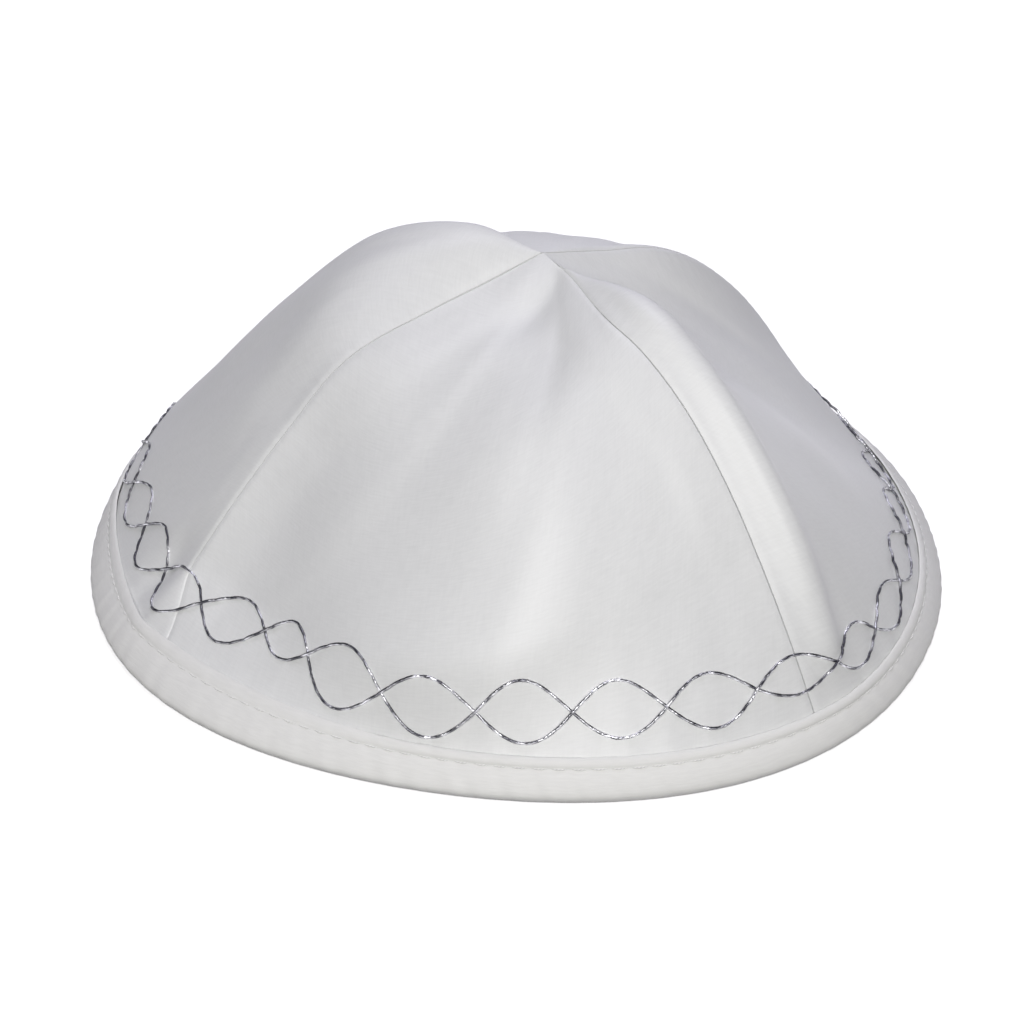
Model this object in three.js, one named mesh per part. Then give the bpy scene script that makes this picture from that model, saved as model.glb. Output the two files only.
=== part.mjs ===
// Kippah: a skullcap of four satin panels, sewn along four seams that cross at the top,
// with a folded binding round the rim. Millimetres, +Z up.
// The binding's underside is the plane z = 0, its middle is the origin, and the front panel faces -Y.
import * as THREE from 'three';

// ---- Rim: a rounded square, a little longer one way, drawn where the cloth enters the binding
const RIM_RADIUS = 84.4; // mean radius of the cloth's outer face
const RIM_OVAL = 0.028; // share by which the long way exceeds the mean radius
const RIM_OVAL_TURN = -25; // degrees from +X to the long way
const RIM_SQUARENESS = 0.018; // share by which the seams pull the rim out at its corners

// ---- Crown: where the seams cross, and the lines that the cloth follows up to there
const CROSSING = { x: 5.4, y: -0.5, height: 64.5 };
const CLOTH = 1.8; // thickness of satin, backing and plain inner face together
const CLOTH_FOOT = 1.6; // height of the cloth's lower edge, inside the binding
const GAP = 0.3; // between pieces

// Each line has seven levels, evenly spaced from the rim to the crossing.
// spread: how far out a level lies, 1 at the rim and 0 at the crossing; height: above z = 0.
const LINES = {
  seamFrontLeft: {
    spread: [1, 0.855, 0.73, 0.605, 0.465, 0.26, 0],
    height: [CLOTH_FOOT, 15.5, 29, 41, 51.5, 57.5, CROSSING.height],
  },
  seamFrontRight: {
    spread: [1, 0.825, 0.62, 0.42, 0.245, 0.105, 0],
    height: [CLOTH_FOOT, 31, 50.5, 61, 63.8, 64.3, CROSSING.height],
  },
  seamBack: {
    spread: [1, 0.84, 0.68, 0.515, 0.355, 0.185, 0],
    height: [CLOTH_FOOT, 23, 39.5, 51, 57.7, 61, CROSSING.height],
  },
  middleFront: {
    spread: [1, 0.87, 0.72, 0.555, 0.375, 0.19, 0],
    height: [CLOTH_FOOT, 16, 29, 41, 51, 59, CROSSING.height],
  },
  middleRight: {
    spread: [1, 0.88, 0.72, 0.54, 0.353, 0.172, 0],
    height: [CLOTH_FOOT, 14, 25.5, 36, 46, 55.6, CROSSING.height],
  },
  middleBack: {
    spread: [1, 0.92, 0.762, 0.576, 0.382, 0.183, 0],
    height: [CLOTH_FOOT, 12.2, 25.5, 40.3, 53.6, 61.7, CROSSING.height],
  },
  middleLeft: {
    spread: [1, 0.958, 0.806, 0.612, 0.41, 0.193, 0],
    height: [CLOTH_FOOT, 10.5, 25.5, 44.6, 61.2, 67.7, CROSSING.height],
  },
};
const RIDGE_ROUNDING = 0.5; // how softly a panel bends along its middle line, in half panel widths
const ARC_LEVEL = 0.2; // above this level the panels are straight between seams; the rim is an arc

// ---- Panels: the seams that they lie between, anticlockwise seen from above, in degrees at the rim
const PANELS = [
  { name: 'panel_front', from: -142, to: -38.2, left: 'seamFrontLeft', right: 'seamFrontRight', middle: 'middleFront' },
  { name: 'panel_right', from: -38.2, to: 45, left: 'seamFrontRight', right: 'seamBack', middle: 'middleRight' },
  { name: 'panel_back', from: 45, to: 135, left: 'seamBack', right: 'seamBack', middle: 'middleBack' },
  { name: 'panel_left', from: 135, to: 218, left: 'seamBack', right: 'seamFrontLeft', middle: 'middleLeft' },
];
const COLUMNS = 20; // facets across a panel
const ROWS = 18; // facets from the rim to the tip
const TIP = 0.985; // level where a panel's tip is cut, so that four tips don't meet in a point

// ---- Binding: a strip folded over the cloth's edge. Its section follows the cloth upwards;
// out: distance from the cloth's outer face, outwards; height: above z = 0.
const TAPE = 1.2; // thickness of the folded strip
const BINDING_HEIGHT = 6.4;
const BINDING_FLOOR = CLOTH_FOOT - GAP;
const INNER_FACE = -(CLOTH + GAP);
const BINDING_SECTION = [
  { out: 0.7, height: 0 },
  { out: GAP + TAPE, height: 1.2 },
  { out: GAP + TAPE + 0.1, height: 3 },
  { out: GAP + TAPE - 0.1, height: 5 },
  { out: GAP + 0.7, height: BINDING_HEIGHT },
  { out: GAP, height: BINDING_HEIGHT },
  { out: GAP, height: 3.8 },
  { out: GAP, height: BINDING_FLOOR },
  { out: INNER_FACE, height: BINDING_FLOOR },
  { out: INNER_FACE, height: 3.8 },
  { out: INNER_FACE, height: BINDING_HEIGHT },
  { out: INNER_FACE - 0.7, height: BINDING_HEIGHT },
  { out: INNER_FACE - TAPE, height: 4 },
  { out: INNER_FACE - TAPE, height: 1 },
  { out: INNER_FACE - 0.5, height: 0 },
];

const radians = THREE.MathUtils.degToRad;
const curves = Object.fromEntries(Object.entries(LINES).map(([name, line]) => [
  name,
  new THREE.CatmullRomCurve3(
    line.spread.map((spread, level) => new THREE.Vector3(spread, line.height[level], 0)),
    false,
    'catmullrom',
  ),
]));

/** Where the cloth stands on the rim, at an angle in degrees from +X. */
function rimPoint(degrees) {
  const angle = radians(degrees);
  const oval = RIM_OVAL * Math.cos(2 * (angle - radians(RIM_OVAL_TURN)));
  const square = RIM_SQUARENESS * Math.cos(4 * (angle - radians(45)));
  const radius = RIM_RADIUS * (1 + oval + square);
  return new THREE.Vector3(radius * Math.cos(angle), radius * Math.sin(angle), 0);
}

/** A tent with a rounded ridge: 1 at a panel's middle line and 0 at both seams. */
function tent(across) {
  const widest = Math.hypot(1, RIDGE_ROUNDING);
  return (widest - Math.hypot(across, RIDGE_ROUNDING)) / (widest - RIDGE_ROUNDING);
}

/** How far the cloth is drawn in from an arc to the straight line between two seams. */
function drawnIn(panel, across, level) {
  const half = radians(panel.to - panel.from) / 2;
  const chord = Math.cos(half) / Math.cos(half * across);
  const straight = chord + (1 - Math.cos(half)) * tent(across);
  return THREE.MathUtils.lerp(1, straight, THREE.MathUtils.smoothstep(level, 0, ARC_LEVEL));
}

/** The cloth's outer face: across runs from -1 at one seam to 1 at the next, level from 0 to 1. */
function clothPoint(panel, across, level) {
  const share = THREE.MathUtils.smoothstep(across, -1, 1);
  const left = curves[panel.left].getPoint(level);
  const right = curves[panel.right].getPoint(level);
  const middle = curves[panel.middle].getPoint(level);
  const seams = left.clone().lerp(right, share);
  const lift = middle.sub(left.add(right).multiplyScalar(0.5)).multiplyScalar(tent(across));
  const { x: spread, y: height } = seams.add(lift);
  const rim = rimPoint(THREE.MathUtils.lerp(panel.from, panel.to, (across + 1) / 2));
  rim.multiplyScalar(drawnIn(panel, across, level));
  return new THREE.Vector3(
    CROSSING.x * (1 - spread) + rim.x * spread,
    CROSSING.y * (1 - spread) + rim.y * spread,
    height,
  );
}

/** The cloth's inner face: the outer point moved by the cloth's thickness towards a point inside. */
function liningPoint(outer) {
  const inside = new THREE.Vector3(CROSSING.x / 2, 0, 8);
  const towards = inside.sub(outer).normalize();
  return outer.clone().addScaledVector(towards, CLOTH);
}

/** The level at which the cloth of a panel reaches a height near the rim, by halving. */
function levelAtHeight(panel, across, height) {
  let low = 0;
  let high = 0.3;
  for (let step = 0; step < 24; step += 1) {
    const middle = (low + high) / 2;
    if (clothPoint(panel, across, middle).z < height) low = middle;
    else high = middle;
  }
  return low;
}

/** One point of the binding: beside the cloth at that height, moved straight out from the z axis. */
function bindingPoint(panel, across, { out, height }) {
  const level = levelAtHeight(panel, across, height);
  const point = clothPoint(panel, across, level).setZ(0);
  return point.setLength(point.length() + out).setZ(height);
}

/** A closed mesh from points and four-sided faces, each face anticlockwise seen from outside. */
function solidOf(points, quads) {
  const geometry = new THREE.BufferGeometry().setFromPoints(points);
  geometry.setIndex(quads.flatMap(([a, b, c, d]) => [a, b, c, a, c, d]));
  geometry.computeVertexNormals();
  return geometry;
}

/** One panel: its outer and inner faces as two grids, joined round their four edges. */
function panelGeometry(panel) {
  const outer = [];
  for (let row = 0; row <= ROWS; row += 1) {
    const level = (TIP * row) / ROWS;
    const halfWidth = clothPoint(panel, -1, level).distanceTo(clothPoint(panel, 1, level)) / 2;
    const reach = 1 - GAP / 2 / halfWidth;
    for (let column = 0; column <= COLUMNS; column += 1) {
      const across = reach * ((2 * column) / COLUMNS - 1);
      outer.push(clothPoint(panel, across, level));
    }
  }
  const inner = outer.map(liningPoint);
  const at = (row, column) => row * (COLUMNS + 1) + column;
  const under = (row, column) => outer.length + at(row, column);
  const quads = [];
  for (let row = 0; row < ROWS; row += 1) {
    for (let column = 0; column < COLUMNS; column += 1) {
      quads.push([at(row, column), at(row, column + 1), at(row + 1, column + 1), at(row + 1, column)]);
      quads.push([under(row, column), under(row + 1, column), under(row + 1, column + 1), under(row, column + 1)]);
    }
    quads.push([at(row, 0), at(row + 1, 0), under(row + 1, 0), under(row, 0)]);
    quads.push([at(row, COLUMNS), under(row, COLUMNS), under(row + 1, COLUMNS), at(row + 1, COLUMNS)]);
  }
  for (let column = 0; column < COLUMNS; column += 1) {
    quads.push([at(0, column), under(0, column), under(0, column + 1), at(0, column + 1)]);
    quads.push([at(ROWS, column), at(ROWS, column + 1), under(ROWS, column + 1), under(ROWS, column)]);
  }
  return solidOf([...outer, ...inner], quads);
}

/** The binding: its section carried once round the rim, with steps at the panels' columns. */
function bindingGeometry() {
  const stations = PANELS.flatMap((panel) => (
    Array.from({ length: COLUMNS }, (_, column) => ({ panel, across: (2 * column) / COLUMNS - 1 }))
  ));
  const points = stations.flatMap(({ panel, across }) => (
    BINDING_SECTION.map((corner) => bindingPoint(panel, across, corner))
  ));
  const size = BINDING_SECTION.length;
  const at = (station, corner) => (station % stations.length) * size + (corner % size);
  const quads = stations.flatMap((_, station) => (
    BINDING_SECTION.map((__, corner) => [
      at(station, corner), at(station + 1, corner), at(station + 1, corner + 1), at(station, corner + 1),
    ])
  ));
  return solidOf(points, quads);
}

// ---- Materials
const satin = new THREE.MeshStandardMaterial({ color: '#f1f1f3', roughness: 0.42, metalness: 0 });
const bindingSatin = new THREE.MeshStandardMaterial({ color: '#eeeeef', roughness: 0.6, metalness: 0 });

/** A named mesh with a material of its own. */
function piece(name, geometry, material) {
  const mesh = new THREE.Mesh(geometry, material.clone());
  mesh.name = name;
  return mesh;
}

const group = new THREE.Group();
group.name = 'kippah';
PANELS.forEach((panel) => group.add(piece(panel.name, panelGeometry(panel), satin)));
group.add(piece('rim_binding', bindingGeometry(), bindingSatin));

export default group;
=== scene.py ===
"""A four-panel satin kippah, resting on its rim on a white studio table.

Blender works in metres; MM turns a size in millimetres into metres. +Z is up and the front panel faces -Y.
"""

import bpy
import numpy as np
from mathutils import Matrix, Vector


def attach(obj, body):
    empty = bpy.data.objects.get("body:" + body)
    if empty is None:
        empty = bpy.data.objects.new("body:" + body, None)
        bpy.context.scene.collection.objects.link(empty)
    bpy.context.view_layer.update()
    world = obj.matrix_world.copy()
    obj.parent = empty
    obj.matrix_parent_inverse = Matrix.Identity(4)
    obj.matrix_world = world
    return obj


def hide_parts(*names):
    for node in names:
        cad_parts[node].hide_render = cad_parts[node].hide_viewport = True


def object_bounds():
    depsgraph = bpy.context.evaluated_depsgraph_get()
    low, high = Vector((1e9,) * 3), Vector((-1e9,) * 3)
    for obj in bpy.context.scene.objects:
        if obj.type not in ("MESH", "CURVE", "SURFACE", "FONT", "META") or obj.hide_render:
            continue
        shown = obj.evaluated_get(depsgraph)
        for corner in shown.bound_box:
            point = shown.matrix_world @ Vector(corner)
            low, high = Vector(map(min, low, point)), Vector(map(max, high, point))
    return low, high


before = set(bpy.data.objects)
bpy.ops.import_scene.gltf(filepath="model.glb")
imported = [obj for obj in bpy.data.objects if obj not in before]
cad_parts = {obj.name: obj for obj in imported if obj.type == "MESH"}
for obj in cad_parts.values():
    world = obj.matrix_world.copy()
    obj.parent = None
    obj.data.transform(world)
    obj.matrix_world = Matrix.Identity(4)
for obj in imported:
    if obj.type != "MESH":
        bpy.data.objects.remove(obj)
cad_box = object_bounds()
MM = 0.001

# ---------------------------------------------------------------- The crown's form
# Four gores of white satin, backed with a plain lining, are sewn edge to edge into a soft dome.
# Low down the seams stand out as corners; higher up they sink between the gores' lobes and cross.
RIM_RADIUS = 84.4
RIM_OVAL = 0.028
RIM_OVAL_TURN = np.radians(-25)
RIM_SQUARENESS = 0.018
CROSSING = np.array([5.4, -0.5])
CROSSING_HEIGHT = 64.5
CLOTH_FOOT = 1.6
# Seven lines up the cloth, each with seven levels from the rim to the crossing. spread: how far out a
# level lies, 1 at the rim and 0 at the crossing; height: above the table. These rows weren't chosen by
# hand: a least-squares program solved for them, and they were then rounded.
LINES = {
    "seam_front_left": {
        "spread": (1, 0.855, 0.73, 0.605, 0.465, 0.26, 0),
        "height": (CLOTH_FOOT, 15.5, 29, 41, 51.5, 57.5, CROSSING_HEIGHT),
    },
    "seam_front_right": {
        "spread": (1, 0.825, 0.62, 0.42, 0.245, 0.105, 0),
        "height": (CLOTH_FOOT, 31, 50.5, 61, 63.8, 64.3, CROSSING_HEIGHT),
    },
    "seam_back": {
        "spread": (1, 0.84, 0.68, 0.515, 0.355, 0.185, 0),
        "height": (CLOTH_FOOT, 23, 39.5, 51, 57.7, 61, CROSSING_HEIGHT),
    },
    "middle_front": {
        "spread": (1, 0.87, 0.72, 0.555, 0.375, 0.19, 0),
        "height": (CLOTH_FOOT, 16, 29, 41, 51, 59, CROSSING_HEIGHT),
    },
    "middle_right": {
        "spread": (1, 0.88, 0.72, 0.54, 0.353, 0.172, 0),
        "height": (CLOTH_FOOT, 14, 25.5, 36, 46, 55.6, CROSSING_HEIGHT),
    },
    "middle_back": {
        "spread": (1, 0.92, 0.762, 0.576, 0.382, 0.183, 0),
        "height": (CLOTH_FOOT, 12.2, 25.5, 40.3, 53.6, 61.7, CROSSING_HEIGHT),
    },
    "middle_left": {
        "spread": (1, 0.958, 0.806, 0.612, 0.41, 0.193, 0),
        "height": (CLOTH_FOOT, 10.5, 25.5, 44.6, 61.2, 67.7, CROSSING_HEIGHT),
    },
}
SEAMS = ("seam_front_left", "seam_front_right", "seam_back", "seam_back")
MIDDLES = ("middle_front", "middle_right", "middle_back", "middle_left")
CORNERS = np.radians([-142, -38.2, 45, 135, 218])
CORNER_ROUNDING = 1.1
# How softly a panel bends along its middle line, in half panel widths, and how much softer at the top.
PANEL_ROUNDING = 0.5
TOP_SOFTENING = 3
# Up to this level the panels change from the rim's arc to straight between the seams.
ARC_LEVEL = 0.2


def smooth_step(low, high, value):
    """0 below low and 1 above high, with the cubic 3t^2 - 2t^3 between."""
    t = np.clip((value - low) / (high - low), 0, 1)
    return t * t * (3 - 2 * t)


def line_value(names, column, quarter, level):
    """A line's spread or height at a level from 0 to 1: the uniform Catmull-Rom cubic through its seven
    rows, whose slope at a row is half the step between its neighbours; the ends run on straight."""
    rows = np.array([LINES[name][column] for name in names], float)
    before = 2 * rows[:, :1] - rows[:, 1:2]
    after = 2 * rows[:, -1:] - rows[:, -2:-1]
    steps = rows.shape[1] - 1
    rows = np.concatenate([before, rows, after], axis=1)
    place = np.clip(level * steps, 0, steps - 1e-9)
    row = place.astype(int)
    part = place - row
    a, b, c, d = (rows[quarter, row + step] for step in range(4))
    slope_b, slope_c = (c - a) / 2, (d - b) / 2
    cubic = 2 * b - 2 * c + slope_b + slope_c
    square = 3 * c - 3 * b - 2 * slope_b - slope_c
    return ((cubic * part + square) * part + slope_b) * part + b


def crown_creased(turn, level):
    """The dome in millimetres. turn runs 0 to 4 round it, whole at the corners; level 0 to 1 up it.
    Spread and height blend smoothly from seam to seam. Between two seams the cloth hangs straight,
    and is lifted to the panel's middle line by a tent with a rounded ridge; the rim stays an arc.
    A point is the crossing times one less the spread, plus the rim's point times the spread."""
    turn, level = np.broadcast_arrays(np.asarray(turn, float) % 4, np.asarray(level, float))
    quarter = np.floor(turn).astype(int) % 4
    part = turn - quarter
    across = 2 * part - 1
    share = part * part * (3 - 2 * part)
    rounding = PANEL_ROUNDING * (1 + TOP_SOFTENING * level)
    widest = np.sqrt(1 + rounding**2)
    tent = (widest - np.sqrt(across**2 + rounding**2)) / (widest - rounding)
    values = []
    for column in ("spread", "height"):
        near = line_value(SEAMS, column, quarter, level)
        far = line_value(SEAMS, column, (quarter + 1) % 4, level)
        middle = line_value(MIDDLES, column, quarter, level)
        values.append(near + (far - near) * share + (middle - (near + far) / 2) * tent)
    spread, height = values
    half_angle = (CORNERS[quarter + 1] - CORNERS[quarter]) / 2
    angle = CORNERS[quarter] + half_angle * (across + 1)
    chord = np.cos(half_angle) / np.cos(half_angle * across)
    drawn_in = 1 + (chord + (1 - np.cos(half_angle)) * tent - 1) * smooth_step(0, ARC_LEVEL, level)
    oval = RIM_OVAL * np.cos(2 * (angle - RIM_OVAL_TURN))
    square = RIM_SQUARENESS * np.cos(4 * (angle - np.pi / 4))
    radius = RIM_RADIUS * (1 + oval + square) * drawn_in
    x = CROSSING[0] * (1 - spread) + radius * np.cos(angle) * spread
    y = CROSSING[1] * (1 - spread) + radius * np.sin(angle) * spread
    return np.stack([x, y, height], axis=-1)


def quarter_girth(level):
    """Millimetres round a quarter of the dome at a level: the rim's quarter times the mean spread."""
    spread = line_value(SEAMS[2:3], "spread", 0, np.asarray(level, float))
    return np.maximum(spread * RIM_RADIUS * np.pi / 2, 2.0)


def crown(turn, level):
    """The dome with its corners rounded: the mean of the creased dome at nine places spaced evenly
    round it, weighted by a bell curve whose half width is CORNER_ROUNDING millimetres."""
    steps = np.linspace(-2, 2, 9)
    weights = np.exp(-steps**2 / 2) / np.exp(-steps**2 / 2).sum()
    rounding = np.minimum(CORNER_ROUNDING / quarter_girth(level), 0.04)
    return sum(w * crown_creased(turn + s * rounding, level) for s, w in zip(steps, weights))


def crown_outward(turn, level):
    """The dome's outward direction: the cross product of its steps round and up, made one long."""
    step = 0.004
    low, high = np.clip(level - step, 0, 1), np.clip(level + step, 0, 1)
    around = crown(turn + step, level) - crown(turn - step, level)
    upwards = crown(turn, high) - crown(turn, low)
    outward = np.cross(around, upwards)
    return outward / (np.linalg.norm(outward, axis=-1, keepdims=True) + 1e-12)


LENGTH_LEVELS = np.linspace(0, 1, 241)
MIDDLE_LINE = crown(0.5, LENGTH_LEVELS)
LENGTH_UP = np.concatenate([[0], np.cumsum(np.linalg.norm(np.diff(MIDDLE_LINE, axis=0), axis=1))])


def length_up(level):
    """Millimetres up the cloth from its lower edge to a level, measured along the front's middle."""
    return np.interp(level, LENGTH_LEVELS, LENGTH_UP)


# ---------------------------------------------------------------- The panels
# Each gore is heat-set polyester satin on a plain woven lining. Its seam allowances are pressed
# open inside, so a faint flat band shows on both sides of every seam, and the seam itself sinks.
CLOTH = 1.2
# Millimetres that each seam lies round from its corner, all the way up and at its foot alone.
SEAM_SHIFT = (0.0, -6.2, 0.0, 0.0)
SEAM_FOOT = (9.0, 0.0, 0.0, 0.0)
SEAM_FOOT_LEVEL = 0.2
SEAM_GAP = 0.11
GROOVE = {"width": 0.6, "depth": 0.16}
BAND_HEIGHT = 0.2
PUCKER = {"length": 3.4, "reach": 3.5, "height": 0.03}
# The fold beside the front-right seam, which stands out as the cap's sharpest corner.
CORNER_FOLD = {"width": 3.2, "height": 1.1}
ALLOWANCE = 6.4
# Between these lengths up the cloth, in millimetres, folds and waves grow from nothing to full height.
HELD_FLAT = (5, 22)
PANELS = ("panel_front", "panel_right", "panel_back", "panel_left")
PANEL_COLUMNS = 190
PANEL_ROWS = 150
TIP_LEVEL = 0.997

# Soft folds: a swelling along a line from a low place to a high one. width, height in millimetres.
FOLDS = (
    {"turn": (0.45, 0.66), "level": (0.05, 0.64), "width": 23, "height": 4.2},
    {"turn": (0.05, 0.06), "level": (0.10, 0.62), "width": 12, "height": -1.6},
    {"turn": (0.70, 0.78), "level": (0.10, 0.50), "width": 12, "height": -0.4},
    {"turn": (1.40, 1.44), "level": (0.10, 0.50), "width": 18, "height": 0.2},
    {"turn": (2.62, 2.50), "level": (0.10, 0.50), "width": 15, "height": 0.6},
    {"turn": (3.45, 3.40), "level": (0.10, 0.50), "width": 16, "height": 0.5},
)
# Hollows pressed into the cloth: centre, half widths round and up, and depth, in millimetres.
HOLLOWS = (
    {"turn": 0.55, "level": 0.85, "round": 7.0, "up": 7.0, "depth": 2.0},
    {"turn": 3.94, "level": 0.15, "round": 5.0, "up": 8.0, "depth": 1.5},
)
# The slow unevenness of cloth: waves by their whole count round the rim, their length up the cloth
# and their height in millimetres, and their phase.
WAVES = (
    {"count": 11, "up": 83, "height": 0.26, "phase": 0.4},
    {"count": -17, "up": 57, "height": 0.12, "phase": 2.1},
    {"count": 28, "up": -43, "height": 0.04, "phase": 4.0},
    {"count": -41, "up": 29, "height": 0.02, "phase": 1.3},
)
# The gathers that the binding makes in the cloth: their count round the rim, height and reach up.
GATHERS = {"count": 68, "height": 0.14, "reach": 7}


def seam_turn(seam, level):
    """The turn at which a seam lies: at its corner, moved round in millimetres by its shift, which
    fades towards the crossing, and by its foot, which fades a fifth of the way up."""
    shift = SEAM_SHIFT[seam % 4] * (1 - smooth_step(0.55, 1.0, level))
    shift = shift + SEAM_FOOT[seam % 4] * (1 - smooth_step(0.0, SEAM_FOOT_LEVEL, level))
    return seam + shift / quarter_girth(level)


def seam_distance(seam, turn, level):
    """Millimetres round the dome from a seam, positive to the anticlockwise side."""
    turns = (turn - seam_turn(seam, level) + 2) % 4 - 2
    return turns * quarter_girth(level)


def relief(turn, level):
    """How far the cloth stands proud of the plain dome, in millimetres. Waves are sines; folds,
    hollows, grooves and the corner fold are bell curves of the distance across them; the pressed
    bands are smooth steps. Folds and waves fade out where the binding holds the cloth flat."""
    up = length_up(level)
    girth = quarter_girth(level)
    away_from_tip = smooth_step(0.95, 0.6, level)
    above_binding = smooth_step(*HELD_FLAT, up)
    height = np.zeros(np.broadcast(turn, level).shape)
    for wave in WAVES:
        rounds = turn / 4 * wave["count"] + up / wave["up"]
        swing = np.sin(2 * np.pi * rounds + wave["phase"])
        height += wave["height"] * swing * away_from_tip * above_binding
    for fold in FOLDS:
        along = (level - fold["level"][0]) / (fold["level"][1] - fold["level"][0])
        centre = fold["turn"][0] + (fold["turn"][1] - fold["turn"][0]) * np.clip(along, -0.2, 1.2)
        across = ((turn - centre + 2) % 4 - 2) * girth
        ends = smooth_step(-0.3, 0.25, along) * smooth_step(1.3, 0.75, along)
        height += fold["height"] * np.exp(-(across / fold["width"]) ** 2) * ends * above_binding
    for hollow in HOLLOWS:
        across = ((turn - hollow["turn"] + 2) % 4 - 2) * girth / hollow["round"]
        upwards = (up - length_up(hollow["level"])) / hollow["up"]
        height -= hollow["depth"] * np.exp(-(across**2) - upwards**2)
    for seam in range(4):
        away = np.abs(seam_distance(seam, turn, level))
        band = np.minimum(ALLOWANCE, girth * 0.35)
        height += BAND_HEIGHT * smooth_step(1.45, 0.75, away / band) * smooth_step(1.0, 0.75, level)
        groove = np.exp(-((away / GROOVE["width"]) ** 2))
        height -= GROOVE["depth"] * groove * smooth_step(1.02, 0.9, level)
        pucker = np.sin(2 * np.pi * up / PUCKER["length"] + 1.7 * np.sin(up / 9.0 + seam))
        height += PUCKER["height"] * pucker * np.exp(-away / PUCKER["reach"]) * away_from_tip
    from_corner = (seam_distance(1, turn, level) + SEAM_SHIFT[1]) / CORNER_FOLD["width"]
    ends = smooth_step(0.9, 0.5, level) * smooth_step(5, 9, up)
    height += CORNER_FOLD["height"] * np.exp(-(from_corner**2)) * ends
    gather = np.sin(np.pi / 2 * turn * GATHERS["count"] + 1.5 * np.sin(np.pi / 2 * turn * 6))
    height += GATHERS["height"] * gather * np.exp(-up / GATHERS["reach"])
    return height


def cloth_point(turn, level, stand=0.0):
    """A point on the cloth's outer face in metres, lifted along the outward direction by a stand-off."""
    lift = (relief(turn, level) + stand)[..., None]
    return (crown(turn, level) + crown_outward(turn, level) * lift) * MM


def make_mesh(name, points, quads, uvs, slots=None):
    """A mesh object from points, four-cornered faces anticlockwise from outside, each corner's UV in
    millimetres, and the faces' material slots. Edges sharper than 50 degrees stay crisp."""
    mesh = bpy.data.meshes.new(name)
    mesh.vertices.add(len(points))
    mesh.vertices.foreach_set("co", np.ascontiguousarray(points, np.float32).ravel())
    mesh.loops.add(quads.size)
    mesh.loops.foreach_set("vertex_index", np.ascontiguousarray(quads, np.int32).ravel())
    mesh.polygons.add(len(quads))
    mesh.polygons.foreach_set("loop_start", np.arange(0, quads.size, 4, dtype=np.int32))
    mesh.update(calc_edges=True)
    mesh.uv_layers.new(name="Cloth")
    mesh.uv_layers["Cloth"].data.foreach_set("uv", np.ascontiguousarray(uvs, np.float32).ravel())
    if slots is not None:
        mesh.polygons.foreach_set("material_index", np.ascontiguousarray(slots, np.int32))
    mesh.shade_smooth()
    mesh.set_sharp_from_angle(angle=np.radians(50))
    piece = bpy.data.objects.new(name, mesh)
    bpy.context.scene.collection.objects.link(piece)
    return piece


def grid_quads(rows, columns):
    """Corner numbers of a grid's faces, as grid coordinates (faces, 4, 2): row and column of each."""
    row, column = np.meshgrid(np.arange(rows), np.arange(columns), indexing="ij")
    corners = [(row, column), (row, column + 1), (row + 1, column + 1), (row + 1, column)]
    return np.stack([np.stack(corner, axis=-1) for corner in corners], axis=-2).reshape(-1, 4, 2)


def panel_mesh(index):
    """One gore: the outer face as a grid from seam to seam with closer columns beside the seams, the
    lining as the same grid moved in by the cloth's thickness, and walls round the four edges."""
    even = np.linspace(0, 1, PANEL_COLUMNS + 1)
    column = even - 0.6 * np.sin(2 * np.pi * even) / (2 * np.pi)
    level = (TIP_LEVEL * np.linspace(0, 1, PANEL_ROWS + 1) ** 0.9)[:, None]
    inset = SEAM_GAP / quarter_girth(level)
    first = seam_turn(index, level) + inset
    last = seam_turn(index + 1, level) - inset
    turn = first + (last - first) * column[None, :]
    level = np.broadcast_to(level, turn.shape)
    outer = cloth_point(turn, level)
    inside = np.array([CROSSING[0] / 2, 0, 8]) * MM
    inwards = inside - outer
    inwards = inwards / np.linalg.norm(inwards, axis=-1, keepdims=True)
    inner = outer + inwards * CLOTH * MM
    grid_uv = np.stack([(turn - index - 0.5) * quarter_girth(level), length_up(level)], axis=-1)

    faces = grid_quads(PANEL_ROWS, PANEL_COLUMNS)
    number = faces[..., 0] * (PANEL_COLUMNS + 1) + faces[..., 1]
    uv = grid_uv[faces[..., 0], faces[..., 1]]
    count = outer.shape[0] * outer.shape[1]
    rim = np.concatenate([
        np.arange(PANEL_COLUMNS),
        np.arange(PANEL_ROWS) * (PANEL_COLUMNS + 1) + PANEL_COLUMNS,
        PANEL_ROWS * (PANEL_COLUMNS + 1) + np.arange(PANEL_COLUMNS, 0, -1),
        np.arange(PANEL_ROWS, 0, -1) * (PANEL_COLUMNS + 1),
    ])
    following = np.roll(rim, -1)
    walls = np.stack([rim, rim + count, following + count, following], axis=-1)
    flat_uv = grid_uv.reshape(-1, 2)
    wall_uv = flat_uv[np.stack([rim, rim, following, following], axis=-1)]
    points = np.concatenate([outer.reshape(-1, 3), inner.reshape(-1, 3)])
    quads = np.concatenate([number, number[:, ::-1] + count, walls])
    uvs = np.concatenate([uv, uv[:, ::-1], wall_uv])
    slots = np.concatenate([np.zeros(len(number)), np.ones(len(number)), np.zeros(len(walls))])
    return make_mesh(PANELS[index] + "_satin", points, quads, uvs, slots)


def hex_linear(colour):
    """An sRGB hex colour as linear RGBA: the sRGB curve undone channel by channel."""
    channels = np.array([int(colour[i:i + 2], 16) for i in (1, 3, 5)]) / 255
    linear = np.where(channels <= 0.04045, channels / 12.92, ((channels + 0.055) / 1.055) ** 2.4)
    return (*linear.tolist(), 1.0)


def add_node(tree, kind, sockets=None, **properties):
    """Adds one node, sets its properties, and fills its sockets with values or with links."""
    node = tree.nodes.new(kind)
    for name, value in properties.items():
        setattr(node, name, value)
    for name, value in (sockets or {}).items():
        if isinstance(value, bpy.types.NodeSocket):
            tree.links.new(value, node.inputs[name])
        else:
            node.inputs[name].default_value = value
    return node


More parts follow.
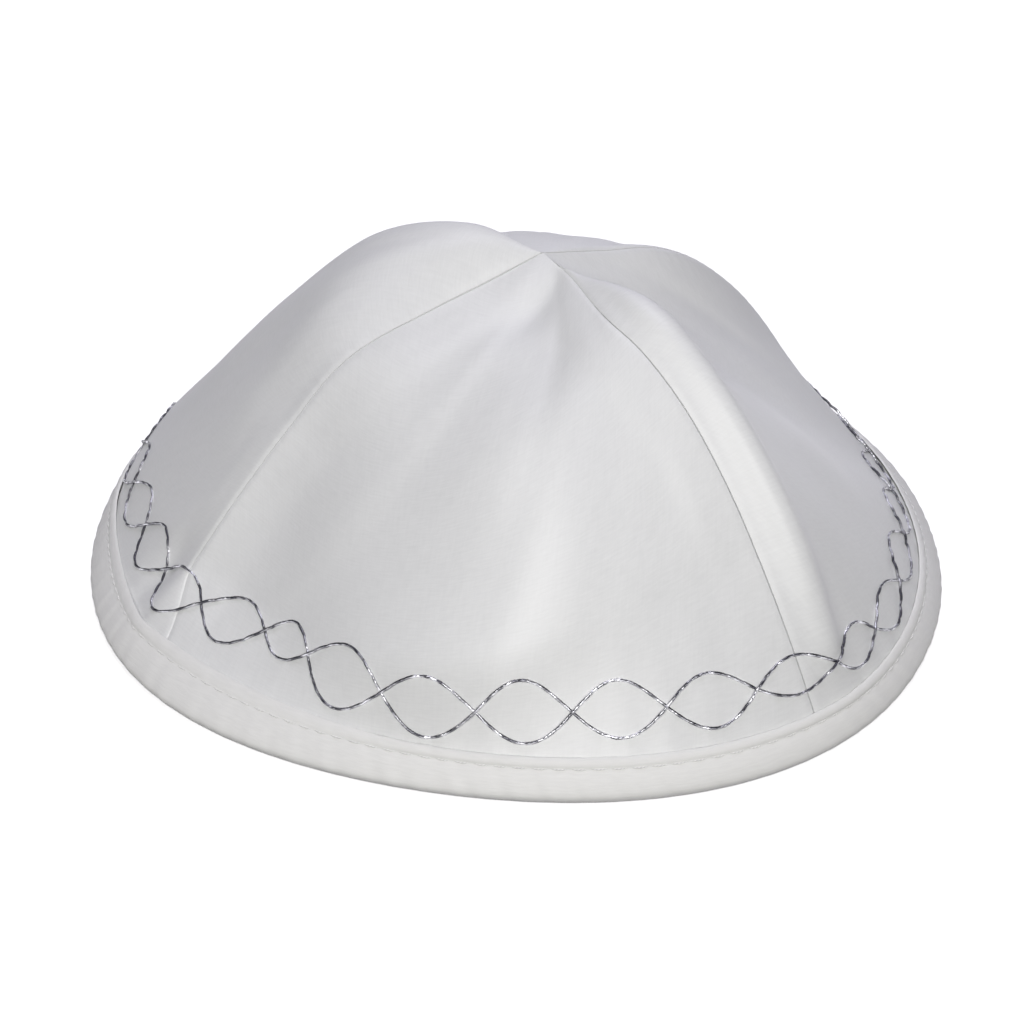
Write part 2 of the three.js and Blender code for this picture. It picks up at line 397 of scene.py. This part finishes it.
def new_material(name):
    """An empty node material, with its tree, its shader and its output."""
    material = bpy.data.materials.new(name)
    material.use_nodes = True
    tree = material.node_tree
    tree.nodes.clear()
    shader = add_node(tree, "ShaderNodeBsdfPrincipled")
    add_node(tree, "ShaderNodeOutputMaterial", {"Surface": shader.outputs["BSDF"]})
    return material, tree, shader


def satin_material():
    """Heat-set polyester satin, woven with long floats: a soft sheen that runs across the floats, fine
    streaks along them, and a white whose tone drifts slowly at random."""
    material, tree, shader = new_material("satin_heat_set_polyester")
    uv = add_node(tree, "ShaderNodeUVMap", uv_map="Cloth").outputs["UV"]
    # Satin floats are 0.1 mm wide; drawn at 0.35 mm by 2.5 mm so that they show.
    floats_place = add_node(tree, "ShaderNodeMapping", {"Vector": uv, "Scale": (0.4, 2.9, 1)})
    floats = add_node(tree, "ShaderNodeTexNoise", {
        "Vector": floats_place.outputs["Vector"], "Scale": 1.0, "Detail": 2.0, "Roughness": 0.6})
    warp_place = add_node(tree, "ShaderNodeMapping", {"Vector": uv, "Scale": (2.2, 0.25, 1)})
    warp = add_node(tree, "ShaderNodeTexNoise", {
        "Vector": warp_place.outputs["Vector"], "Scale": 1.0, "Detail": 2.0, "Roughness": 0.6})
    weave = add_node(tree, "ShaderNodeMix", {
        "Factor": 0.4, "A": floats.outputs["Fac"], "B": warp.outputs["Fac"]})
    slow = add_node(tree, "ShaderNodeTexNoise", {"Vector": uv, "Scale": 0.06, "Detail": 3.0})
    tone = add_node(tree, "ShaderNodeMix", {
        "Factor": slow.outputs["Fac"], "A": hex_linear("#ECEDEC"), "B": hex_linear("#F3F4F3")},
        data_type="RGBA")
    shade = add_node(tree, "ShaderNodeMapRange", {
        "Value": weave.outputs["Result"], "From Min": 0.3, "From Max": 0.7, "To Min": 0.925,
        "To Max": 1.0})
    colour = add_node(tree, "ShaderNodeVectorMath", {
        0: tone.outputs["Result"], "Scale": shade.outputs["Result"]}, operation="SCALE")
    tree.links.new(colour.outputs["Vector"], shader.inputs["Base Color"])
    gloss = add_node(tree, "ShaderNodeMapRange", {
        "Value": weave.outputs["Result"], "From Min": 0.3, "From Max": 0.7, "To Min": 0.46,
        "To Max": 0.56})
    tree.links.new(gloss.outputs["Result"], shader.inputs["Roughness"])
    bump = add_node(tree, "ShaderNodeBump", {
        "Strength": 0.35, "Distance": 0.05 * MM, "Height": weave.outputs["Result"]})
    tree.links.new(bump.outputs["Normal"], shader.inputs["Normal"])
    tangent = add_node(tree, "ShaderNodeTangent", direction_type="UV_MAP", uv_map="Cloth")
    tree.links.new(tangent.outputs["Tangent"], shader.inputs["Tangent"])
    shader.inputs["IOR"].default_value = 1.75
    shader.inputs["Anisotropic"].default_value = 0.55
    shader.inputs["Anisotropic Rotation"].default_value = 0.25
    shader.inputs["Sheen Weight"].default_value = 0.15
    shader.inputs["Sheen Roughness"].default_value = 0.4
    return material


def lining_material():
    """Plain woven polyester lining: matt, with an even over-and-under grid of threads."""
    material, tree, shader = new_material("lining_plain_woven_polyester")
    uv = add_node(tree, "ShaderNodeUVMap", uv_map="Cloth").outputs["UV"]
    # Threads lie 0.25 mm apart; drawn at 0.6 mm so that they show.
    across = add_node(tree, "ShaderNodeTexWave", {"Vector": uv, "Scale": 0.53, "Distortion": 0.3},
                      bands_direction="X")
    along = add_node(tree, "ShaderNodeTexWave", {"Vector": uv, "Scale": 0.53, "Distortion": 0.3},
                     bands_direction="Y")
    grid = add_node(tree, "ShaderNodeMath", {0: across.outputs["Fac"], 1: along.outputs["Fac"]},
                    operation="MULTIPLY")
    tone = add_node(tree, "ShaderNodeMix", {
        "Factor": grid.outputs["Value"], "A": hex_linear("#DCDCDD"), "B": hex_linear("#EAEAEA")},
        data_type="RGBA")
    tree.links.new(tone.outputs["Result"], shader.inputs["Base Color"])
    bump = add_node(tree, "ShaderNodeBump", {
        "Strength": 0.3, "Distance": 0.08 * MM, "Height": grid.outputs["Value"]})
    tree.links.new(bump.outputs["Normal"], shader.inputs["Normal"])
    shader.inputs["Roughness"].default_value = 0.75
    return material


satin = satin_material()
lining = lining_material()
for index, node in enumerate(PANELS):
    panel = panel_mesh(index)
    panel.data.materials.append(satin)
    panel.data.materials.append(lining)
    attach(panel, "root")
    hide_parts(node)

# ---------------------------------------------------------------- The binding
# A bias strip of the same satin, folded over the panels' lower edges and topstitched close to its
# upper fold. It is springy, so it swells below the stitching, and flattens where it stands.
BINDING_COLUMNS = 1000
BINDING_SAMPLES = 56
STITCH_HEIGHT = 5.35
# out: distance from the cloth's outer face; height: above the table; puff: share of the puckers.
BINDING_SECTION = (
    {"out": 0.8, "height": 0.0, "puff": 0.0},
    {"out": 1.45, "height": 0.25, "puff": 0.3},
    {"out": 1.85, "height": 1.1, "puff": 0.8},
    {"out": 2.0, "height": 2.4, "puff": 1.0},
    {"out": 1.85, "height": 3.8, "puff": 1.0},
    {"out": 1.45, "height": 4.9, "puff": 0.8},
    {"out": 1.2, "height": STITCH_HEIGHT, "puff": 0.2},
    {"out": 1.4, "height": 5.85, "puff": 0.6},
    {"out": 1.3, "height": 6.45, "puff": 0.8},
    {"out": 0.85, "height": 6.75, "puff": 0.6},
    {"out": 0.4, "height": 6.4, "puff": 0.2},
    {"out": 0.35, "height": 4.0, "puff": 0.0},
    {"out": 0.3, "height": 1.3, "puff": 0.0},
    {"out": -2.1, "height": 1.25, "puff": 0.0},
    {"out": -2.15, "height": 5.4, "puff": 0.0},
    {"out": -2.5, "height": 6.5, "puff": 0.3},
    {"out": -3.1, "height": 6.2, "puff": 0.6},
    {"out": -3.4, "height": 4.2, "puff": 0.8},
    {"out": -3.4, "height": 1.8, "puff": 0.8},
    {"out": -2.9, "height": 0.3, "puff": 0.3},
    {"out": -2.3, "height": 0.0, "puff": 0.0},
)


def level_at_height(turn, height):
    """The level at which the dome reaches a height near the rim, by a few Newton steps."""
    level = np.full(np.broadcast(turn, height).shape, 0.05)
    step = 0.002
    for _ in range(8):
        here = crown(turn, level)[..., 2]
        rise = (crown(turn, level + step)[..., 2] - here) / step
        level = np.clip(level + (height - here) / rise, 0, 0.6)
    return level


def closed_curve(rows, samples):
    """Points evenly spaced in parameter on the closed uniform Catmull-Rom curve through the rows."""
    place = np.arange(samples) / samples * len(rows)
    row = place.astype(int)
    t = (place - row)[:, None]
    a, b, c, d = (rows[(row + step - 1) % len(rows)] for step in range(4))
    return b + t * (c - a) / 2 + t**2 * (a - 2.5 * b + 2 * c - d / 2) + t**3 * (1.5 * (b - c) + (d - a) / 2)


def beside_cloth(turn, out, height):
    """A point in metres at a height, moved straight out from the cloth's outer face by a distance."""
    point = crown(turn, level_at_height(turn, height))
    radius = np.linalg.norm(point[..., :2], axis=-1, keepdims=True)
    flat = point[..., :2] * (1 + out[..., None] / radius)
    return np.concatenate([flat, height[..., None]], axis=-1) * MM


def binding_swell(turn, height):
    """How far the binding puffs out in millimetres: short slanting puckers, finer ripples and a slower
    swell, each a whole number of times round the rim, with their spacing drifting as it goes."""
    round_rim = turn * np.pi / 2
    puckers = np.sin(93 * (round_rim + height / 140) + 1.9 * np.sin(8 * round_rim))
    ripples = np.sin(171 * (round_rim + height / 140) + 2.3 * np.sin(12 * round_rim + 1.0))
    swell = np.sin(9 * round_rim + 0.7)
    return 0.06 * puckers + 0.03 * ripples + 0.12 * swell


section_rows = np.array([[row["out"], row["height"], row["puff"]] for row in BINDING_SECTION])
section = closed_curve(section_rows, BINDING_SAMPLES)
binding_turn = (np.arange(BINDING_COLUMNS) / BINDING_COLUMNS * 4)[:, None]
section_out, section_height, section_puff = (section[None, :, i] for i in range(3))
section_height = np.maximum(section_height, 0)
swell = binding_swell(binding_turn, section_height) * section_puff * np.sign(section_out + 1)
binding_out = section_out + swell
binding_height = np.broadcast_to(section_height, binding_out.shape)
binding_points = beside_cloth(np.broadcast_to(binding_turn, binding_out.shape), binding_out, binding_height)
cells = grid_quads(BINDING_COLUMNS, BINDING_SAMPLES)
binding_number = (cells[..., 0] % BINDING_COLUMNS) * BINDING_SAMPLES + cells[..., 1] % BINDING_SAMPLES
section_steps = np.linalg.norm(np.diff(section[:, :2], axis=0, append=section[:1, :2]), axis=1)
section_length = np.concatenate([[0], np.cumsum(section_steps)])
binding_uv = np.stack([
    cells[..., 0] * 2 * np.pi * RIM_RADIUS / BINDING_COLUMNS,
    section_length[cells[..., 1]],
], axis=-1)
binding = make_mesh("rim_binding_satin", binding_points.reshape(-1, 3), binding_number[:, ::-1],
                    binding_uv[:, ::-1])


def binding_material():
    """Satin cut on the bias and folded: its floats run aslant, so it looks matter than the panels,
    with faint slanting streaks and small creases across the fold."""
    material, tree, shader = new_material("binding_bias_cut_satin")
    uv = add_node(tree, "ShaderNodeUVMap", uv_map="Cloth").outputs["UV"]
    # Slanting floats, drawn 0.4 mm wide and 3 mm long so that they show.
    slant = add_node(tree, "ShaderNodeMapping", {
        "Vector": uv, "Rotation": (0, 0, np.radians(12)), "Scale": (0.33, 2.5, 1)})
    streaks = add_node(tree, "ShaderNodeTexNoise", {
        "Vector": slant.outputs["Vector"], "Scale": 1.0, "Detail": 3.0, "Roughness": 0.65})
    tone = add_node(tree, "ShaderNodeMix", {
        "Factor": streaks.outputs["Fac"], "A": hex_linear("#E6E6E3"), "B": hex_linear("#F4F4F1")},
        data_type="RGBA")
    tree.links.new(tone.outputs["Result"], shader.inputs["Base Color"])
    bump = add_node(tree, "ShaderNodeBump", {
        "Strength": 0.35, "Distance": 0.12 * MM, "Height": streaks.outputs["Fac"]})
    tree.links.new(bump.outputs["Normal"], shader.inputs["Normal"])
    shader.inputs["Roughness"].default_value = 0.6
    shader.inputs["Sheen Weight"].default_value = 0.2
    shader.inputs["Sheen Roughness"].default_value = 0.5
    return material


binding.data.materials.append(binding_material())
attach(binding, "root")
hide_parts("rim_binding")

# ---------------------------------------------------------------- Topstitching
# One row of lockstitches in white polyester thread holds the binding. Each stitch is 2.6 mm long,
# rises over the fold and dives into the next hole.
STITCH_PITCH = 3.0
STITCH_LENGTH = 2.6
STITCH_RADIUS = 0.13
STITCH_SIDES = 6


def tube(path, forward, outward, radius, sides):
    """Points round a path: rings of the given sides, spanned by the outward direction and the cross
    product of the path's own direction and outward, both made one long."""
    forward = forward / np.linalg.norm(forward, axis=-1, keepdims=True)
    side = np.cross(forward, outward)
    side /= np.linalg.norm(side, axis=-1, keepdims=True)
    angle = np.arange(sides) * 2 * np.pi / sides
    ring = np.cos(angle)[:, None] * outward[..., None, :] + np.sin(angle)[:, None] * side[..., None, :]
    return path[..., None, :] + ring * radius


stitch_count = int(2 * np.pi * RIM_RADIUS / STITCH_PITCH)
stitch_step = np.linspace(-0.5, 0.5, 9)
stitch_place = np.arange(stitch_count)[:, None] + stitch_step * STITCH_LENGTH / STITCH_PITCH
stitch_turn = stitch_place * 4 / stitch_count
stitch_height = np.full(stitch_turn.shape, STITCH_HEIGHT)
stitch_out = 1.12 + 0.22 * np.cos(np.pi * stitch_step) * np.ones(stitch_turn.shape)
stitch_path = beside_cloth(stitch_turn, stitch_out, stitch_height)
stitch_outward = stitch_path * (1, 1, 0)
stitch_outward /= np.linalg.norm(stitch_outward, axis=-1, keepdims=True)
stitch_radius = (STITCH_RADIUS * MM * np.sqrt(np.cos(np.pi * stitch_step * 0.96)))[None, :, None, None]
stitch_forward = np.gradient(stitch_path, axis=-2)
stitch_points = tube(stitch_path, stitch_forward, stitch_outward, stitch_radius, STITCH_SIDES)
cells = grid_quads(len(stitch_step) - 1, STITCH_SIDES)
one_stitch = cells[..., 0] * STITCH_SIDES + cells[..., 1] % STITCH_SIDES
stitch_starts = np.arange(stitch_count)[:, None, None] * len(stitch_step) * STITCH_SIDES
stitch_quads = (one_stitch[None] + stitch_starts).reshape(-1, 4)
stitch_uv = np.broadcast_to(cells * (0.3, 0.15), (stitch_count, *cells.shape)).reshape(-1, 4, 2)
stitches = make_mesh("binding_topstitching", stitch_points.reshape(-1, 3), stitch_quads, stitch_uv)


def sewing_thread_material():
    """Spun polyester sewing thread: matt white, with the slanting ribs of its twist."""
    material, tree, shader = new_material("sewing_thread_spun_polyester")
    uv = add_node(tree, "ShaderNodeUVMap", uv_map="Cloth").outputs["UV"]
    twist = add_node(tree, "ShaderNodeTexWave", {"Vector": uv, "Scale": 1.2}, bands_direction="DIAGONAL")
    tone = add_node(tree, "ShaderNodeMix", {
        "Factor": twist.outputs["Fac"], "A": hex_linear("#D8D8D6"), "B": hex_linear("#F4F4F2")},
        data_type="RGBA")
    tree.links.new(tone.outputs["Result"], shader.inputs["Base Color"])
    shader.inputs["Roughness"].default_value = 0.7
    return material


stitches.data.materials.append(sewing_thread_material())
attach(stitches, "root")

# ---------------------------------------------------------------- Silver embroidery
# Two metallic threads wave past each other just above the binding, making a chain of loops.
# They are couched by machine, so each lies in short arches between holes about 3 mm apart.
STRAND_RADIUS = 0.27
STRAND_SIDES = 8
STRAND_STEPS = 44
ARCH = 3.1
OVER_LIFT = 0.42
# crossing: angle in degrees; top and bottom: heights of the loop that follows it, in millimetres.
# Another program worked these out on the dome, and they were then rounded by up to half a unit.
LOOPS = (
    {"crossing": -136, "top": 15.0, "bottom": 9.0},
    {"crossing": -123, "top": 15.6, "bottom": 10.6},
    {"crossing": -113, "top": 16.0, "bottom": 8.0},
    {"crossing": -99.5, "top": 15.4, "bottom": 7.4},
    {"crossing": -86.5, "top": 17.0, "bottom": 8.2},
    {"crossing": -74, "top": 17.1, "bottom": 9.0},
    {"crossing": -62, "top": 16.5, "bottom": 8.7},
    {"crossing": -50, "top": 15.9, "bottom": 10.0},
    {"crossing": -38, "top": 15.4, "bottom": 8.6},
    {"crossing": -28, "top": 14.5, "bottom": 8.0},
)
HIDDEN_LOOPS = 21
HIDDEN_LOOP = {"top": 15.5, "bottom": 8.4}


def strand_path(side):
    """One strand: between crossings it swings to the loop's top or bottom as half a sine wave, to
    the other side in the next loop. over is 1 where it passes over the other strand, -1 where under."""
    first, last = LOOPS[0]["crossing"], LOOPS[-1]["crossing"]
    spacing = (360 - (last - first)) / HIDDEN_LOOPS
    hidden = last + spacing * np.arange(1, HIDDEN_LOOPS)
    crossing = np.concatenate([[row["crossing"] for row in LOOPS], hidden, [first + 360]])
    top = np.array([row["top"] for row in LOOPS] + [HIDDEN_LOOP["top"]] * (HIDDEN_LOOPS - 1))
    bottom = np.array([row["bottom"] for row in LOOPS] + [HIDDEN_LOOP["bottom"]] * (HIDDEN_LOOPS - 1))
    centre = (top + bottom) / 2
    steps = STRAND_STEPS
    part = np.linspace(0, 1, steps, endpoint=False)
    loops = len(top)
    angle = (crossing[:-1, None] + np.diff(crossing)[:, None] * part).ravel()
    meeting = (centre + np.roll(centre, 1)) / 2
    following = np.roll(meeting, -1)
    swing = np.sin(np.pi * part)
    sign = np.where((np.arange(loops) + side) % 2 == 0, 1, -1)[:, None]
    reach = np.where(sign > 0, (top - centre)[:, None], (centre - bottom)[:, None])
    middle = meeting[:, None] + (following - meeting)[:, None] * part
    height = (middle + (centre[:, None] - middle) * swing + sign * reach * swing).ravel()
    passing = (np.arange(loops)[:, None] + part).ravel()
    over = np.cos(np.pi * passing) * (1 - 2 * side)
    return np.radians(angle), height, over


def turn_at_angle(angle):
    """The turn whose rim angle is the given one: straight between the corners."""
    whole = (angle - CORNERS[0]) % (2 * np.pi) + CORNERS[0]
    return np.interp(whole, CORNERS, np.arange(5))


def strand_mesh(name, side):
    """A strand as a closed tube along its path, lifted off the cloth by its arches."""
    angle, height, over = strand_path(side)
    turn = turn_at_angle(angle) % 4
    level = level_at_height(turn, height)
    rough = cloth_point(turn, level)
    steps = np.linalg.norm(np.roll(rough, -1, axis=0) - rough, axis=1) / MM
    along = np.concatenate([[0], np.cumsum(steps)[:-1]])
    arches = round(steps.sum() / ARCH)
    phase = along / steps.sum() * arches * np.pi
    stand = 0.34 * np.sqrt(np.abs(np.sin(phase))) - 0.12 + OVER_LIFT * np.clip(over, 0, 1) ** 4
    path = cloth_point(turn, level, stand)
    wrapped = np.concatenate([path[-1:], path, path[:1]])
    forward = wrapped[2:] - wrapped[:-2]
    points = tube(path, forward, crown_outward(turn, level), STRAND_RADIUS * MM, STRAND_SIDES)
    cells = grid_quads(len(path), STRAND_SIDES)
    number = (cells[..., 0] % len(path)) * STRAND_SIDES + cells[..., 1] % STRAND_SIDES
    length = np.concatenate([along, [steps.sum()]])
    uv = np.stack([length[cells[..., 0]], cells[..., 1] * 0.19], axis=-1)
    return make_mesh(name, points.reshape(-1, 3), number, uv)


def metallic_thread_material():
    """Metallised polyester film wound on a core: grey silver with painted glints, bright patches that a
    noise paints into its colour, so it reads as dark dashes with bright points; a bump draws the film's
    turns."""
    material, tree, shader = new_material("thread_metallised_film")
    uv = add_node(tree, "ShaderNodeUVMap", uv_map="Cloth").outputs["UV"]
    # The film's turns are 0.4 mm apart.
    turns = add_node(tree, "ShaderNodeTexWave", {"Vector": uv, "Scale": 0.8, "Distortion": 0.6},
                     bands_direction="DIAGONAL")
    # Painted glints: this noise lifts the base colour from dark grey to near white in patches, standing in
    # for bright reflections.
    painted_glint = add_node(tree, "ShaderNodeTexNoise", {"Vector": uv, "Scale": 0.35, "Detail": 2.0})
    spread = add_node(tree, "ShaderNodeMapRange", {
        "Value": painted_glint.outputs["Fac"], "From Min": 0.42, "From Max": 0.62})
    tone = add_node(tree, "ShaderNodeMix", {
        "Factor": spread.outputs["Result"], "A": hex_linear("#66666C"), "B": hex_linear("#F0F0F4")},
        data_type="RGBA")
    tree.links.new(tone.outputs["Result"], shader.inputs["Base Color"])
    bump = add_node(tree, "ShaderNodeBump", {
        "Strength": 0.6, "Distance": 0.06 * MM, "Height": turns.outputs["Fac"]})
    tree.links.new(bump.outputs["Normal"], shader.inputs["Normal"])
    shader.inputs["Metallic"].default_value = 1.0
    shader.inputs["Roughness"].default_value = 0.3
    return material


metallic_thread = metallic_thread_material()
for side, name in enumerate(("embroidery_strand_a", "embroidery_strand_b")):
    strand = strand_mesh(name, side)
    strand.data.materials.append(metallic_thread)
    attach(strand, "root")

# ---------------------------------------------------------------- Table, light and camera
# A white acrylic table with painted light: it glows, less near the cap and more further out, and throws no
# light back on the cap; a large soft light in front, smaller ones above and behind, and a dim room round
# them.
TABLE_SIZE = 30.0
floor_mesh = bpy.data.meshes.new("studio_table")
half = TABLE_SIZE / 2
floor_corners = [(-half, -half, 0), (half, -half, 0), (half, half, 0), (-half, half, 0)]
floor_mesh.from_pydata(floor_corners, [], [(0, 1, 2, 3)])
floor = bpy.data.objects.new("studio_table", floor_mesh)
bpy.context.scene.collection.objects.link(floor)
table_material, table_tree, table_shader = new_material("table_white_acrylic")
table_grain = add_node(table_tree, "ShaderNodeTexNoise", {"Scale": 3.0})
table_tone = add_node(table_tree, "ShaderNodeMix", {
    "Factor": table_grain.outputs["Fac"], "A": hex_linear("#F8F8F8"), "B": hex_linear("#FAFAFA")},
    data_type="RGBA")
table_tree.links.new(table_tone.outputs["Result"], table_shader.inputs["Base Color"])
table_shader.inputs["Roughness"].default_value = 0.8
table_shader.inputs["Specular IOR Level"].default_value = 0.1
table_shader.inputs["Emission Color"].default_value = (1, 1, 1, 1)
table_place = add_node(table_tree, "ShaderNodeTexCoord")
table_reach = add_node(table_tree, "ShaderNodeVectorMath", {0: table_place.outputs["Object"]},
                       operation="LENGTH")
# Painted glow: emission strength 0.45 within 0.08 m of the middle, rising to 0.8 at 0.3 m out.
table_painted_glow = add_node(table_tree, "ShaderNodeMapRange", {
    "Value": table_reach.outputs["Value"], "From Min": 0.08, "From Max": 0.30, "To Min": 0.45,
    "To Max": 0.8})
table_tree.links.new(table_painted_glow.outputs["Result"], table_shader.inputs["Emission Strength"])
floor_mesh.materials.append(table_material)
floor.visible_diffuse = False

low, high = cad_box
middle = (low + high) / 2


def towards(azimuth, elevation):
    """The direction out to a place seen at an azimuth from -Y and an elevation, in degrees."""
    around, above = np.radians(azimuth), np.radians(elevation)
    return Vector((np.sin(around) * np.cos(above), -np.cos(around) * np.cos(above), np.sin(above)))


def facing(place, target):
    """A placement at a point, looking at a target along -Z with its top towards +Z."""
    back = (place - target).normalized()
    right = Vector((0, 0, 1)).cross(back).normalized()
    turned = Matrix((right, back.cross(right), back)).transposed().to_4x4()
    return Matrix.Translation(place) @ turned


# azimuth and elevation in degrees, distance and size in metres, power in watts.
LIGHTS = (
    {"name": "key_softbox", "azimuth": 9, "elevation": 38, "distance": 1.3, "size": 0.8, "power": 12.4,
     "colour": "#FFFEFC"},
    {"name": "top_softbox", "azimuth": 180, "elevation": 74, "distance": 1.2, "size": 0.6, "power": 3.7,
     "colour": "#F0EEFF"},
    {"name": "back_softbox", "azimuth": 180, "elevation": 25, "distance": 1.6, "size": 1.2, "power": 4.2,
     "colour": "#F0EEFF"},
)
for row in LIGHTS:
    lamp = bpy.data.lights.new(row["name"], "AREA")
    lamp.shape = "DISK"
    lamp.size = row["size"]
    lamp.energy = row["power"]
    lamp.color = hex_linear(row["colour"])[:3]
    light = bpy.data.objects.new(row["name"], lamp)
    place = middle + towards(row["azimuth"], row["elevation"]) * row["distance"]
    light.matrix_world = facing(place, middle)
    bpy.context.scene.collection.objects.link(light)

world = bpy.data.worlds.new("studio_room")
world.use_nodes = True
bpy.context.scene.world = world
world.node_tree.nodes["Background"].inputs["Color"].default_value = hex_linear("#E2DEF2")
world.node_tree.nodes["Background"].inputs["Strength"].default_value = 0.07
bpy.context.scene.view_settings.view_transform = "Standard"

CAMERA_AZIMUTH = 8.9
CAMERA_ELEVATION = 32.0
CAMERA_DISTANCE = 0.4
CAMERA_LENS = 68.56
CAMERA_TARGET = (-0.5, 0, 5.9)
camera_data = bpy.data.cameras.new("camera")
camera_data.lens = CAMERA_LENS
camera_data.sensor_width = 36
camera_data.clip_start = 0.01
camera = bpy.data.objects.new("camera", camera_data)
target = Vector(CAMERA_TARGET) * MM
viewpoint = target + towards(CAMERA_AZIMUTH, CAMERA_ELEVATION) * CAMERA_DISTANCE
camera.matrix_world = facing(viewpoint, target)
bpy.context.scene.collection.objects.link(camera)
bpy.context.scene.camera = camera
